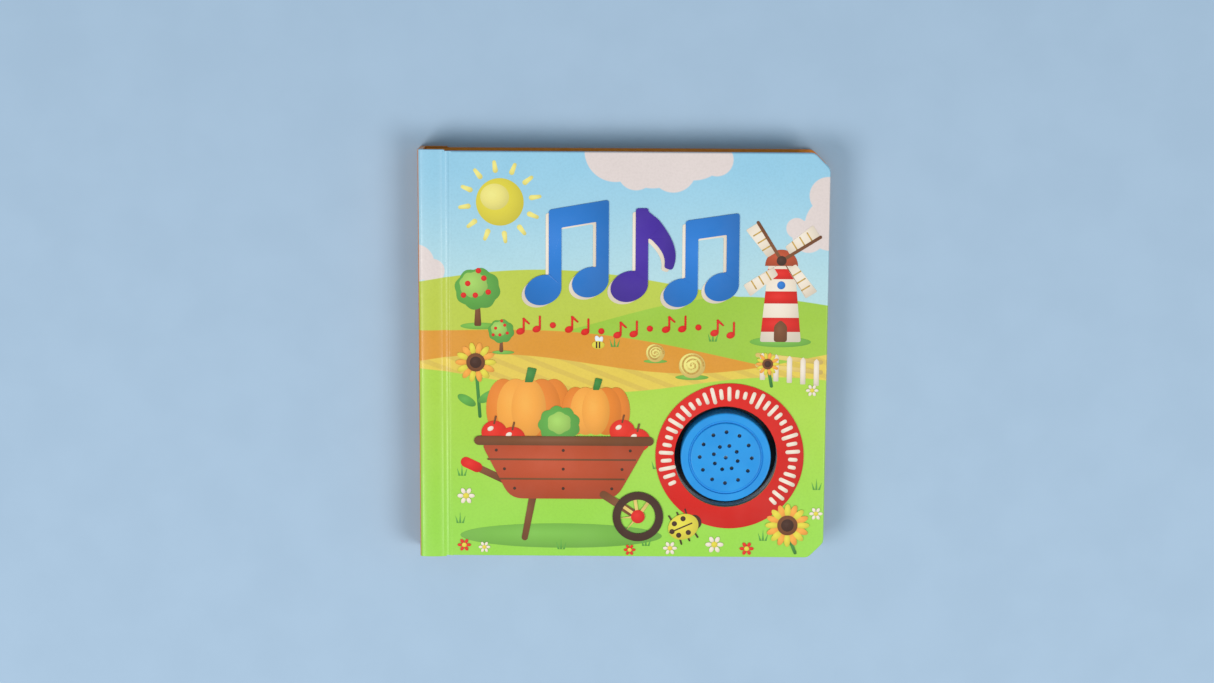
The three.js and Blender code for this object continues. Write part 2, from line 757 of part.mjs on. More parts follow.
const leads = [['speaker_lead_red', 1, 0xc0392b], ['speaker_lead_black', -1, 0x1a1a1a]];
for (const [name, side, colour] of leads) {
  const y = windowY + side * leadSpacing / 2;
  const top = basketZ - terminalThickness - slideClearance;
  const x = (tabFar + tabNear) / 2;
  const route = new THREE.CatmullRomCurve3([
    new THREE.Vector3(x, y, switchZ + slideClearance),
    new THREE.Vector3(x, y, switchZ + slideClearance + leadStraight),
    new THREE.Vector3(x - leadBow, y, (switchZ + top) / 2),
    new THREE.Vector3(x, y, top - leadStraight),
    new THREE.Vector3(x, y, top),
  ]);
  add(name, sweep(route, leadRadius, 12, 6), colour, 0.5);
}

// Return spring between the deck and the speaker's flange, with a flat turn at each end
class SpringCurve extends THREE.Curve {
  getPoint(t, target = new THREE.Vector3()) {
    const low = deckTop + springWire / 2 + springSeat;
    const high = flangeZ - springWire / 2 - springSeat;
    const turn = t * springTurns;
    const flat = springFlatTurns;
    const eased = THREE.MathUtils.smoothstep(turn, flat / 2, springTurns - flat / 2);
    const even = THREE.MathUtils.clamp((turn - flat) / (springTurns - 2 * flat), 0, 1);
    const angle = 2 * Math.PI * turn;
    return target.set(
      windowX + springRadius * Math.cos(angle),
      windowY + springRadius * Math.sin(angle),
      low + (high - low) * (even * springEvenShare + eased * (1 - springEvenShare)),
    );
  }
}

add('button_spring', sweep(new SpringCurve(), springWire / 2, springTurns * 16, 6), 0xaeb2b6, 0.3, 1);

export default group;
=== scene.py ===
import json
import math

import bpy
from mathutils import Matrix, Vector


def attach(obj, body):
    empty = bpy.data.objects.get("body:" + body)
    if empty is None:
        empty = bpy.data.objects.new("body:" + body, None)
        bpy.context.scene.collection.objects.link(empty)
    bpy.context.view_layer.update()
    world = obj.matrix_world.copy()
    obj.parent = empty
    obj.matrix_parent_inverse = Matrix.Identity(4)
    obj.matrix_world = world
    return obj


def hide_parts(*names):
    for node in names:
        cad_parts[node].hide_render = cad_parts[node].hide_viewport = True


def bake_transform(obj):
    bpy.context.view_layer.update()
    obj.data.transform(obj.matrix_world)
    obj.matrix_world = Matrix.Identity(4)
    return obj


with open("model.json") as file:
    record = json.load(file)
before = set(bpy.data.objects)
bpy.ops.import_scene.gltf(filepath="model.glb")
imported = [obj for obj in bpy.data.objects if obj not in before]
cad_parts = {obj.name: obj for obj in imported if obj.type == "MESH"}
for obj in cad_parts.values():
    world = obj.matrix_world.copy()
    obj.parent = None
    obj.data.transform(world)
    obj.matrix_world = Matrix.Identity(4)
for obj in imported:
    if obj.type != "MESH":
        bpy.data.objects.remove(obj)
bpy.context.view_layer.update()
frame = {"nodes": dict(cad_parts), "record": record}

# Sizes in millimetres unless a name says otherwise
MM = 0.001
COVER_TOP = 22.0
COVER_HALF_HEIGHT = 100.5
PRINT_LEFT = -99.45
PRINT_FOOT = 18.5
PRINT_SOFTNESS = 0.1
EDGE_SOFTNESS = 0.25
LEAF_TOP = 18.95
LEAF_SOFTNESS = 0.02
WINDOW = (51.0, -49.5)
WINDOW_RADIUS = 25.35
RING_CENTRE = (52.9, -49.2)
RING_RADIUS = 36.5
INK_STEP = 0.012
NOTE_STEM = 5.4
NOTE_BEAM = 9.0
NOTE_CORNER = 1.1
SHAPE_MAP = "across_shape"

# Each embossed edge rises in two slopes: shares of its run and of its height
RELIEF_STEPS = ((0.45, 0.7), (0.55, 0.3))

# The folds that close the groove: the middle of the one at the head, their size and rounded edge
FOLD_MIDDLE = (-86.55, 100.3, 20.0)
FOLD_SIZE = (2.46, 0.3, 1.76)
FOLD_EDGE = 0.1

# The paper over the groove: how much shorter it is than the cover
HINGE_PAPER_MARGIN = 0.1

# Side of a softbox and merging distances in metres, angles in degrees
LAMP_SIDE = 0.75
MERGE_DISTANCE = 1e-6
INK_MERGE_DISTANCE = 1e-7
FLAT_ANGLE = 0.5
SOLID_SMOOTH_ANGLE = 32
INK_SMOOTH_ANGLE = 35
PAPER_SMOOTH_ANGLE = 60

FILM_COAT = 0.08
INK_SHADE = 0.72

slot_of = {part["node"]: part["material_slot"] for part in frame["record"]["subparts"]}


def mm(*values):
    return tuple(value * MM for value in values)


def srgb(red, green, blue):
    """A screen colour of 0 to 255 as the linear colour that a shader takes."""
    def linear(value):
        share = value / 255
        return share / 12.92 if share <= 0.04045 else ((share + 0.055) / 1.055) ** 2.4
    return (linear(red), linear(green), linear(blue), 1.0)


SKY_HIGH = srgb(150, 204, 230)
SKY_LOW = srgb(184, 220, 226)
CLOUD = srgb(226, 212, 208)
FAR_HILL = srgb(188, 204, 74)
MID_HILL = srgb(158, 200, 66)
FIELD_YELLOW = srgb(230, 202, 84)
FIELD_ORANGE = srgb(222, 152, 52)
MEADOW_FAR = srgb(172, 214, 74)
MEADOW_NEAR = srgb(152, 216, 76)
ORANGE_PAPER = srgb(226, 136, 44)


# Materials
class Finish:
    """A material round one Principled shader, with short calls for the nodes behind it."""

    def __init__(self, name, roughness=0.5, metallic=0.0, coat=0.0):
        self.material = bpy.data.materials.new(name)
        self.material.use_nodes = True
        self.tree = self.material.node_tree
        self.shader = self.tree.nodes["Principled BSDF"]
        self.shader.inputs["Roughness"].default_value = roughness
        self.shader.inputs["Metallic"].default_value = metallic
        self.shader.inputs["Coat Weight"].default_value = coat
        self.shader.inputs["Coat Roughness"].default_value = 0.16
        self.shader.inputs["Specular IOR Level"].default_value = 0.34
        self.place = self.node("ShaderNodeTexCoord").outputs["Object"]

    def node(self, kind, **settings):
        made = self.tree.nodes.new(kind)
        for key, value in settings.items():
            setattr(made, key, value)
        return made

    def feed(self, socket, value):
        if isinstance(value, bpy.types.NodeSocket):
            self.tree.links.new(value, socket)
        else:
            socket.default_value = value

    def maths(self, operation, first, second=0.0):
        made = self.node("ShaderNodeMath", operation=operation)
        self.feed(made.inputs[0], first)
        self.feed(made.inputs[1], second)
        return made.outputs[0]

    def ramp(self, value, low, high, to_low=0.0, to_high=1.0):
        made = self.node("ShaderNodeMapRange", interpolation_type="SMOOTHSTEP")
        self.feed(made.inputs["Value"], value)
        made.inputs["From Min"].default_value = low
        made.inputs["From Max"].default_value = high
        made.inputs["To Min"].default_value = to_low
        made.inputs["To Max"].default_value = to_high
        return made.outputs["Result"]

    def mix(self, share, first, second, blend="MIX"):
        made = self.node("ShaderNodeMix", data_type="RGBA", blend_type=blend)
        self.feed(made.inputs["Factor"], share)
        self.feed(made.inputs[6], first)
        self.feed(made.inputs[7], second)
        return made.outputs[2]

    def noise(self, scale, detail=3.0, roughness=0.5, stretch=(1, 1, 1)):
        mapping = self.node("ShaderNodeMapping")
        mapping.inputs["Scale"].default_value = stretch
        self.tree.links.new(self.place, mapping.inputs["Vector"])
        made = self.node("ShaderNodeTexNoise")
        made.inputs["Scale"].default_value = scale
        made.inputs["Detail"].default_value = detail
        made.inputs["Roughness"].default_value = roughness
        self.tree.links.new(mapping.outputs["Vector"], made.inputs["Vector"])
        return made.outputs["Fac"]

    def axes(self):
        """Object coordinates in millimetres."""
        split = self.node("ShaderNodeSeparateXYZ")
        self.tree.links.new(self.place, split.inputs[0])
        return [self.maths("MULTIPLY", split.outputs[i], 1 / MM) for i in range(3)]

    def colour(self, value):
        self.feed(self.shader.inputs["Base Color"], value)

    def rough(self, value):
        self.feed(self.shader.inputs["Roughness"], value)

    def relief(self, height, depth_mm, strength=1.0):
        made = self.node("ShaderNodeBump")
        made.inputs["Strength"].default_value = strength
        made.inputs["Distance"].default_value = depth_mm * MM
        self.tree.links.new(height, made.inputs["Height"])
        self.tree.links.new(made.outputs["Normal"], self.shader.inputs["Normal"])


CLOUD_PUFFS = (
    (-4, 101, 15), (14, 103, 20), (34, 104, 17), (24, 92, 11), (6, 91, 9), (45, 97, 8),
    (101, 66, 13), (90, 60, 8), (99, 80, 9), (84, 64, 5), (-101, 46, 9), (-93, 42, 6),
)


def laminate(finish):
    """Clear film over print: a faint pebble and patches that shine a little less."""
    finish.rough(finish.ramp(finish.noise(45, 4), 0.35, 0.7, 0.27, 0.42))
    finish.relief(finish.noise(1400, 2), 0.006, 0.35)


def cloud_cover(finish):
    """1 inside the round puffs that make up the clouds, which run off the edges of the cover."""
    flat = finish.node("ShaderNodeVectorMath", operation="MULTIPLY")
    finish.feed(flat.inputs[0], finish.place)
    flat.inputs[1].default_value = (1, 1, 0)
    cover = 0.0
    for x, y, radius in CLOUD_PUFFS:
        reach = finish.node("ShaderNodeVectorMath", operation="DISTANCE")
        finish.feed(reach.inputs[0], flat.outputs["Vector"])
        reach.inputs[1].default_value = mm(x, y, 0)
        inside = finish.ramp(reach.outputs["Value"], (radius + EDGE_SOFTNESS) * MM,
                             (radius - EDGE_SOFTNESS) * MM)
        cover = finish.maths("MAXIMUM", cover, inside)
    return cover


def landscape(finish):
    """The cover's background: sky, hills, fields and meadow, as fields of colour divided by curves."""
    x, y, _ = finish.axes()

    def below(level, sway, pace, start, slope=0.0):
        """1 under a wavy line, which is the upper edge of a field of colour."""
        phase = finish.maths("MULTIPLY_ADD", x, pace)
        phase.node.inputs[2].default_value = start
        line = finish.maths("MULTIPLY", finish.maths("SINE", phase), sway)
        line = finish.maths("ADD", line, finish.maths("MULTIPLY", x, slope))
        line = finish.maths("ADD", line, level)
        return finish.ramp(finish.maths("SUBTRACT", line, y), -EDGE_SOFTNESS, EDGE_SOFTNESS)

    grain = finish.noise(900, 2)
    cloudy = finish.noise(14, 2)
    sky = finish.mix(finish.ramp(y, 20, 100), SKY_LOW, SKY_HIGH)
    sky = finish.mix(cloud_cover(finish), sky, CLOUD)
    ground = finish.mix(below(34, 9, 0.021, 2.4), sky, FAR_HILL)
    ground = finish.mix(below(19, 8, 0.028, 0.2, 0.06), ground, MID_HILL)
    ground = finish.mix(below(5, 5, 0.024, 1.9, -0.10), ground, FIELD_ORANGE)
    furrow = finish.maths("SINE", finish.maths("ADD", finish.maths("MULTIPLY", x, 0.35),
                                               finish.maths("MULTIPLY", y, 0.9)))
    ploughed = finish.mix(finish.ramp(furrow, 0.2, 0.6), FIELD_YELLOW, srgb(219, 190, 84))
    ground = finish.mix(below(-3, 6, 0.03, 3.6, 0.03), ground, ploughed)
    near = finish.mix(finish.ramp(y, -100, -10), MEADOW_NEAR, MEADOW_FAR)
    ground = finish.mix(below(-13, 5, 0.033, 5.2, -0.02), ground, near)
    tone = finish.ramp(cloudy, 0.3, 0.7, 0.0, 0.10)
    ground = finish.mix(tone, ground, srgb(255, 255, 255), "SOFT_LIGHT")
    return finish.mix(finish.ramp(grain, 0.35, 0.75, 0.0, 0.05), ground, srgb(60, 60, 40))


def printed_paper():
    finish = Finish("laminated_print", coat=FILM_COAT)
    finish.colour(landscape(finish))
    laminate(finish)
    return finish.material


def case_paper():
    """Orange paper round the spine and back, printed with the landscape on top of the strip."""
    finish = Finish("orange_case_paper", coat=FILM_COAT)
    x, _, z = finish.axes()
    printed = finish.maths("MULTIPLY",
                           finish.ramp(x, PRINT_LEFT - PRINT_SOFTNESS, PRINT_LEFT + PRINT_SOFTNESS),
                           finish.ramp(z, PRINT_FOOT - PRINT_SOFTNESS, PRINT_FOOT + PRINT_SOFTNESS))
    fibre = finish.ramp(finish.noise(420, 5), 0.3, 0.75)
    orange = finish.mix(fibre, ORANGE_PAPER, srgb(216, 124, 38))
    finish.colour(finish.mix(printed, orange, landscape(finish)))
    laminate(finish)
    return finish.material


def plain_paper(name, colour, shade):
    finish = Finish(name, roughness=0.55)
    finish.colour(finish.mix(finish.ramp(finish.noise(500, 5), 0.3, 0.75), colour, shade))
    finish.rough(finish.ramp(finish.noise(60, 3), 0.3, 0.7, 0.48, 0.62))
    finish.relief(finish.noise(1800, 4), 0.01, 0.5)
    return finish.material


def grey_board():
    """Pulp board: flecks of fibre in layers along the sheet."""
    finish = Finish("grey_pulp_board", roughness=0.95)
    layers = finish.noise(260, 6, 0.7, (0.6, 0.6, 9.0))
    flecks = finish.noise(2600, 2, 0.6, (1, 1, 2.5))
    colour = finish.mix(finish.ramp(layers, 0.3, 0.7), srgb(160, 138, 118), srgb(192, 174, 152))
    colour = finish.mix(finish.ramp(flecks, 0.62, 0.72, 0.0, 0.5), colour, srgb(96, 86, 72))
    finish.colour(colour)
    finish.relief(finish.noise(1200, 5, 0.7, (1, 1, 3)), 0.06, 0.8)
    return finish.material


def leaf_board():
    """Coated leaves: white pulp on the cut edges, plain printed ground on the uppermost face."""
    finish = Finish("coated_leaf_board", roughness=0.5)
    _, y, z = finish.axes()
    layers = finish.noise(300, 6, 0.7, (0.5, 0.5, 9.0))
    edge = finish.mix(finish.ramp(layers, 0.3, 0.75), srgb(240, 236, 224), srgb(214, 206, 190))
    page = finish.mix(finish.ramp(y, -6, 6), srgb(160, 206, 96), srgb(176, 214, 228))
    low, high = LEAF_TOP - LEAF_SOFTNESS, LEAF_TOP + LEAF_SOFTNESS
    finish.colour(finish.mix(finish.ramp(z, low, high), edge, page))
    finish.rough(finish.ramp(z, low, high, 0.85, 0.42))
    finish.relief(finish.noise(1500, 4, 0.6, (1, 1, 3)), 0.02, 0.5)
    return finish.material


def moulded(name, colour, shade, roughness=0.45, grain=0.012, scale=3200):
    """Moulded plastic: spark-eroded grain, and a shade that drifts slowly."""
    finish = Finish(name, roughness=roughness)
    finish.colour(finish.mix(finish.ramp(finish.noise(70, 3), 0.3, 0.7), colour, shade))
    finish.rough(finish.ramp(finish.noise(160, 4), 0.3, 0.7, roughness - 0.06, roughness + 0.08))
    finish.relief(finish.noise(scale, 3, 0.6), grain, 0.7)
    return finish.material


def metal(name, colour, roughness):
    finish = Finish(name, roughness=roughness, metallic=1.0)
    dull = tuple(channel * 0.8 for channel in colour[:3]) + (1.0,)
    scratches = finish.noise(1500, 4, 0.6)
    finish.colour(finish.mix(finish.ramp(scratches, 0.35, 0.7), colour, dull))
    finish.rough(finish.ramp(finish.noise(300, 3), 0.3, 0.7, roughness - 0.08, roughness + 0.12))
    finish.relief(scratches, 0.004, 0.4)
    return finish.material


def ink(name, red, green, blue):
    """Printed colour under the film: each shape is lightest at its upper left and darker towards its rim."""
    colour = srgb(red, green, blue)
    darker = tuple(channel * INK_SHADE for channel in colour[:3]) + (1.0,)
    lighter = tuple(min(1.0, channel * 1.5 + 0.04) for channel in colour[:3]) + (1.0,)
    finish = Finish("ink_" + name, coat=FILM_COAT)
    shape = finish.node("ShaderNodeUVMap", uv_map=SHAPE_MAP)
    reach = finish.node("ShaderNodeVectorMath", operation="DISTANCE")
    finish.feed(reach.inputs[0], shape.outputs["UV"])
    reach.inputs[1].default_value = (0.40, 0.60, 0.0)
    rim = finish.ramp(reach.outputs["Value"], 0.22, 0.78, 0.0, 0.9)
    lit = finish.ramp(reach.outputs["Value"], 0.34, 0.0, 0.0, 0.22)
    toned = finish.mix(rim, colour, darker)
    toned = finish.mix(lit, toned, lighter)
    speckle = finish.ramp(finish.noise(1500, 2), 0.55, 0.75, 0.0, 0.14)
    finish.colour(finish.mix(speckle, toned, darker))
    laminate(finish)
    return finish.material


INKS = {
    "sun": (226, 212, 70), "sun_light": (240, 228, 130), "cream": (240, 226, 206), "blue": (42, 122, 206),
    "purple": (72, 42, 158), "red": (222, 36, 26), "scarlet": (228, 50, 34), "rust": (186, 78, 44),
    "bark": (122, 74, 42), "dark": (72, 44, 32), "orange": (232, 134, 48), "amber": (246, 168, 70),
    "straw": (226, 196, 110), "straw_dark": (200, 162, 78), "leaf": (96, 168, 70), "leaf_dark": (66, 134, 60),
    "leaf_light": (160, 204, 96), "shade": (122, 184, 74), "wing": (226, 236, 244),
}
ink_for = {name: ink(name, *colour) for name, colour in INKS.items()}


# Outlines in millimetres on the cover
def ellipse(x, y, rx, ry=None, turn=0.0, count=40):
    ry = rx if ry is None else ry
    lean = math.radians(turn)
    points = []
    for step in range(count):
        angle = 2 * math.pi * step / count
        u, v = rx * math.cos(angle), ry * math.sin(angle)
        points.append((x + u * math.cos(lean) - v * math.sin(lean),
                       y + u * math.sin(lean) + v * math.cos(lean)))
    return points


def scalloped(corners, bulge):
    """A closed outline of round lobes: each side between the corners, in anticlockwise order, swells out."""
    steps = 9
    points = []
    for (ax, ay), (bx, by) in zip(corners, corners[1:] + corners[:1]):
        dx, dy = bx - ax, by - ay
        for step in range(steps):
            share = step / steps
            swell = bulge * math.sin(math.pi * share)
            points.append((ax + dx * share + dy * swell, ay + dy * share - dx * swell))
    return points


def rounded(corners, radius, steps=5):
    """A polygon with its corners rounded by quadratic curves."""
    points = []
    count = len(corners)
    for i, (x, y) in enumerate(corners):
        ends = []
        for ox, oy in (corners[i - 1], corners[(i + 1) % count]):
            reach = math.hypot(ox - x, oy - y)
            share = min(radius, reach * 0.49) / reach
            ends.append((x + (ox - x) * share, y + (oy - y) * share))
        (ax, ay), (bx, by) = ends
        for step in range(steps + 1):
            t = step / steps
            points.append((
                (1 - t) ** 2 * ax + 2 * t * (1 - t) * x + t * t * bx,
                (1 - t) ** 2 * ay + 2 * t * (1 - t) * y + t * t * by,
            ))
    return points


def bar(ax, ay, bx, by, width, end_width=None):
    """A straight bar with round ends."""
    end_width = width if end_width is None else end_width
    along = math.atan2(by - ay, bx - ax)
    points = []
    for x, y, half, start in ((bx, by, end_width / 2, -90), (ax, ay, width / 2, 90)):
        for step in range(9):
            angle = along + math.radians(start + step * 22.5)
            points.append((x + half * math.cos(angle), y + half * math.sin(angle)))
    return points


def moved(points, dx, dy):
    return [(x + dx, y + dy) for x, y in points]


def turned(points, angle, centre):
    cosine, sine = math.cos(math.radians(angle)), math.sin(math.radians(angle))
    cx, cy = centre
    return [(cx + (x - cx) * cosine - (y - cy) * sine, cy + (x - cx) * sine + (y - cy) * cosine)
            for x, y in points]


def deselect():
    bpy.ops.object.select_all(action="DESELECT")


def select_upper_faces(piece):
    """Leaves only the faces selected that look up, in edit mode."""
    bpy.ops.object.mode_set(mode="OBJECT")
    for face in piece.data.polygons:
        face.select = face.normal.z > 0.9
    bpy.ops.object.mode_set(mode="EDIT")


def map_shapes(mesh):
    """Gives every separate shape in a mesh a map that runs from 0 to 1 across its own width and height."""
    leader = list(range(len(mesh.vertices)))

    def lead(index):
        while leader[index] != index:
            leader[index] = leader[leader[index]]
            index = leader[index]
        return index

    for edge in mesh.edges:
        a, b = edge.vertices
        leader[lead(a)] = lead(b)
    spans = {}
    for vertex in mesh.vertices:
        x, y, _ = vertex.co
        low_x, high_x, low_y, high_y = spans.get(lead(vertex.index), (x, x, y, y))
        spans[lead(vertex.index)] = (min(low_x, x), max(high_x, x), min(low_y, y), max(high_y, y))
    layer_map = mesh.uv_layers[0] if mesh.uv_layers else mesh.uv_layers.new()
    layer_map.name = SHAPE_MAP
    for loop in mesh.loops:
        x, y, _ = mesh.vertices[loop.vertex_index].co
        low_x, high_x, low_y, high_y = spans[lead(loop.vertex_index)]
        layer_map.data[loop.index].uv = ((x - low_x) / (high_x - low_x),
                                         (y - low_y) / (high_y - low_y))


def layer(outlines, colour, level, emboss=0.0, slope=1.1):
    """Ink on the cover: closed outlines made one thin sheet, raised with sloping edges where embossed."""
    deselect()
    bpy.ops.curve.primitive_bezier_curve_add()
    piece = bpy.context.object
    curve = piece.data
    curve.splines.clear()
    curve.dimensions = "2D"
    curve.fill_mode = "BOTH"
    curve.resolution_u = 1
    for points in outlines:
        spline = curve.splines.new("POLY")
        spline.points.add(len(points) - 1)
        for point, (x, y) in zip(spline.points, points):
            point.co = (x * MM, y * MM, 0, 1)
        spline.use_cyclic_u = True
    curve.extrude = INK_STEP * MM / 2
    curve.materials.append(ink_for[colour])
    piece.location = mm(0, 0, COVER_TOP + (level + 0.5) * INK_STEP)
    bpy.ops.object.convert(target="MESH")
    bpy.ops.object.transform_apply(location=True, rotation=True, scale=True)
    piece = bpy.context.object
    if emboss:
        bpy.ops.object.mode_set(mode="EDIT")
        bpy.ops.mesh.select_all(action="SELECT")
        bpy.ops.mesh.remove_doubles(threshold=INK_MERGE_DISTANCE)
        select_upper_faces(piece)
        for run, rise in RELIEF_STEPS:
            bpy.ops.mesh.inset(thickness=slope * MM * run, depth=emboss * MM * rise)
        bpy.ops.object.mode_set(mode="OBJECT")
    map_shapes(piece.data)
    return piece


def weigh_normals(piece):
    """Lets the large flat faces set the shading at their borders, so only the roundings shade round."""
    modifier = piece.modifiers.new("weighted", "WEIGHTED_NORMAL")
    modifier.keep_sharp = True
    modifier.weight = 50
    bpy.ops.object.modifier_apply(modifier=modifier.name)


def join(name, parts, body="front_cover"):
    """One finished piece of print from its parts."""
    deselect()
    for part in parts:
        part.select_set(True)
    bpy.context.view_layer.objects.active = parts[0]
    if len(parts) > 1:
        bpy.ops.object.join()
    piece = bpy.context.object
    piece.name = name
    piece.data.name = name
    bpy.ops.object.shade_smooth_by_angle(angle=math.radians(INK_SMOOTH_ANGLE))
    weigh_normals(piece)
    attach(piece, body)


# Printed scene on the front cover
def sun():
    """A sun with twelve rays."""
    x, y = -60, 76
    rays = []
    for i in range(12):
        angle = 30 * i + 8
        rays.append(turned(bar(x + 15.5, y, x + 19.5, y, 2.6, 1.8), angle, (x, y)))
    join("printed_sun", [
        layer(rays, "sun_light", 1),
        layer([ellipse(x, y, 11.6, count=64)], "sun", 2),
        layer([ellipse(x - 2.5, y + 2.5, 7.0, 6.4)], "sun_light", 3),
    ])


def crown(x, y, size):
    """The lobed outline of a treetop."""
    ring = [(x + size * math.cos(math.radians(a)), y + size * 0.9 * math.sin(math.radians(a)))
            for a in range(10, 370, 45)]
    return scalloped(ring, 0.22)


def apple_tree(name, x, y, size, level):
    apples = [(-0.45, 0.25), (0.3, 0.5), (0.5, -0.15), (-0.1, -0.3), (-0.65, -0.3), (0.05, 0.85)]
    trunk_top = y + size * 1.2
    join(name, [
        layer([ellipse(x + 1, y, size * 0.9, size * 0.16)], "shade", level),
        layer([rounded([(x - size * 0.16, y), (x + size * 0.18, y), (x + size * 0.1, trunk_top),
                        (x - size * 0.08, trunk_top)], 1)], "bark", level + 1),
        layer([crown(x, y + size * 1.75, size)], "leaf", level + 2),
        layer([crown(x - size * 0.18, y + size * 1.95, size * 0.62)], "leaf_light", level + 3),
        layer([ellipse(x + u * size, y + size * (1.75 + v), size * 0.13) for u, v in apples],
              "red", level + 4),
    ])


def windmill():
    """A striped tower mill with four cloth sails."""
    x, base, top = 77, 8, 46
    parts = [
        layer([ellipse(x, base, 15, 2.6)], "shade", 4),
        layer([rounded([(x - 10, base), (x + 10, base), (x + 6.4, top), (x - 6.4, top)], 1.2)], "cream", 5),
    ]
    bands = []
    for low, high in ((13, 20), (27, 33), (39, 44)):
        half_low = 10 - 3.6 * (low - base) / (top - base)
        half_high = 10 - 3.6 * (high - base) / (top - base)
        bands.append([(x - half_low, low), (x + half_low, low), (x + half_high, high), (x - half_high, high)])
    parts.append(layer(bands, "red", 6))
    parts.append(layer([rounded([(x - 3.2, base), (x + 3.2, base), (x + 3.2, base + 8), (x, base + 11),
                                 (x - 3.2, base + 8)], 1.4)], "bark", 7))
    parts.append(layer([ellipse(x, 36.0, 2.0)], "blue", 7))
    dome = [(x + 8 * math.cos(math.radians(a)), top - 0.5 + 8 * math.sin(math.radians(a)))
            for a in range(0, 181, 12)]
    parts.append(layer([dome], "rust", 8))
    hub = (x, top + 2)
    arms, cloth, slats = [], [], []
    for quarter in range(4):
        angle = 32 + 90 * quarter
        arms.append(turned(bar(*hub, hub[0] + 22, hub[1], 1.6), angle, hub))
        cloth.append(turned(rounded([(hub[0] + 5, hub[1] + 0.4), (hub[0] + 22, hub[1] + 0.4),
                                     (hub[0] + 22, hub[1] + 7), (hub[0] + 5, hub[1] + 5)], 0.8), angle, hub))
        for step in range(1, 4):
            at = hub[0] + 5 + step * 4.2
            slats.append(turned(bar(at, hub[1] + 0.8, at, hub[1] + 5.2, 0.7), angle, hub))
    parts.append(layer(cloth, "cream", 9))
    parts.append(layer(slats, "straw_dark", 10))
    parts.append(layer(arms, "bark", 11))
    parts.append(layer([ellipse(*hub, 2.4)], "dark", 12))
    join("printed_windmill", parts)


def note_head(x, y, size):
    """An open outline: the head from its stem's left side, round below, to the stem's right side."""
    outline = ellipse(x, y, size, size * 0.78, 22, 60)
    last = outline.index(max(outline))
    path = outline[last + 1:] + outline[:last + 1]
    inner = path[-1][0] - NOTE_STEM
    while path[0][0] > inner - 0.4:
        path.pop(0)
    return [(inner, path[0][1] + 0.5)] + path


def beamed_pair(x, y, gap, height, size, rise=4.0):
    """Two notes under a sloping beam, as one outline."""
    left, right = note_head(x, y, size), note_head(x + gap, y + rise, size)
    near, far = left[0][0], right[-1][0]
    slope = rise / gap

    def beam_top(at):
        return y + height + slope * (at - near)

    under = [(at, beam_top(at) - NOTE_BEAM) for at in (near + NOTE_STEM, far - NOTE_STEM)]
    return rounded(left + under + right + [(far, beam_top(far)), (near, beam_top(near))], NOTE_CORNER, 3)


def flagged_note(x, y, height, size):
    """One note with a curling flag, as one outline."""
    head = note_head(x, y, size)
    outer, top = head[-1][0], y + height
    under, over = [], []
    for step in range(1, 13):
        share = step / 12
        dx, dy = 21.5 * math.cos(1.95 * share), -26.0
        half = (1.7 + 3.0 * (1 - share)) / math.hypot(dx, dy)
        mid_x, mid_y = outer + 11.0 * math.sin(1.95 * share), top - 5.5 - 22.5 * share
        under.append((mid_x + dy * half, mid_y - dx * half))
        over.append((mid_x - dy * half, mid_y + dx * half))
    under = [point for point in under if point[0] > outer + 0.3]
    tip = [(outer, top - 0.4), (outer, top + 1), (outer - NOTE_STEM, top + 1)]
    return rounded(head + [(outer, under[0][1] + 0.6)] + under + over[::-1] + tip, NOTE_CORNER, 3)


def big_notes():
    """Large embossed notes, each with a cream shadow to its lower left."""
    groups = [
        ("blue", beamed_pair(-39, 33, 23, 39, 8.8)),
        ("purple", flagged_note(3, 35, 37, 9.0)),
        ("blue", beamed_pair(28, 32, 20, 35, 8.2, rise=3)),
    ]
    parts = [layer([moved(outline, -1.9, -1.5)], "cream", 14) for _, outline in groups]
    parts += [layer([outline], colour, 16, 0.34, slope=1.5) for colour, outline in groups]
    join("embossed_notes", parts)


def small_row():
    """Small notes and dots in a wavy row."""
    marks = []
    for i in range(14):
        x = -50 + i * 7.9
        y = 12.5 + 1.6 * math.sin(i * 0.8)
        if i % 3 == 2:
            marks.append(ellipse(x, y + 1.5, 1.5))
        else:
            marks.append(ellipse(x, y, 2.1, 1.6, 20))
            marks.append(bar(x + 1.55, y + 0.3, x + 1.55, y + 6.2, 1.0))
            if i % 3 == 0:
                marks.append(bar(x + 1.55, y + 6.1, x + 4.2, y + 3.8, 1.3, 0.8))
    parts = [layer([mark], "red", 14 + 0.2 * (k % 3)) for k, mark in enumerate(marks)]
    join("printed_small_notes", parts)


def hay_bale(name, x, y, radius, level):
    """A round bale seen from its end, with its layers wound in a spiral."""
    turns = []
    for step in range(60):
        t = step / 59
        angle = t * 5 * math.pi
        turns.append((x + radius * 0.86 * (1 - t * 0.9) * math.cos(angle),
                      y + radius * 0.86 * (1 - t * 0.9) * math.sin(angle)))
    band = [bar(ax, ay, bx, by, 0.9) for (ax, ay), (bx, by) in zip(turns, turns[1:])]
    join(name, [
        layer([ellipse(x, y - radius + 0.6, radius * 1.25, radius * 0.2)], "shade", level),
        layer([ellipse(x, y, radius, radius * 0.96)], "straw", level + 1),
        layer([ellipse(x - 0.8, y + 0.8, radius * 0.8)], "sun_light", level + 2),
        layer(band[::2], "straw_dark", level + 3),
        layer(band[1::2], "straw_dark", level + 3.5),
    ])


def fence():
    rails, posts = [], []
    for low in (-12.5, -7.5):
        rails.append(bar(66, low + 9, 97, low + 5.5, 2.2))
    for i in range(5):
        x = 68.5 + i * 6.6
        y = -8.5 - i * 0.7 + 1.6
        posts.append(rounded([(x - 1.3, y - 4), (x + 1.3, y - 4), (x + 1.3, y + 8), (x, y + 9.6),
                              (x - 1.3, y + 8)], 0.5))
    join("printed_fence", [
        layer([rails[0]], "straw", 6),
        layer([rails[1]], "straw", 6.5),
        layer(posts, "cream", 8),
    ])


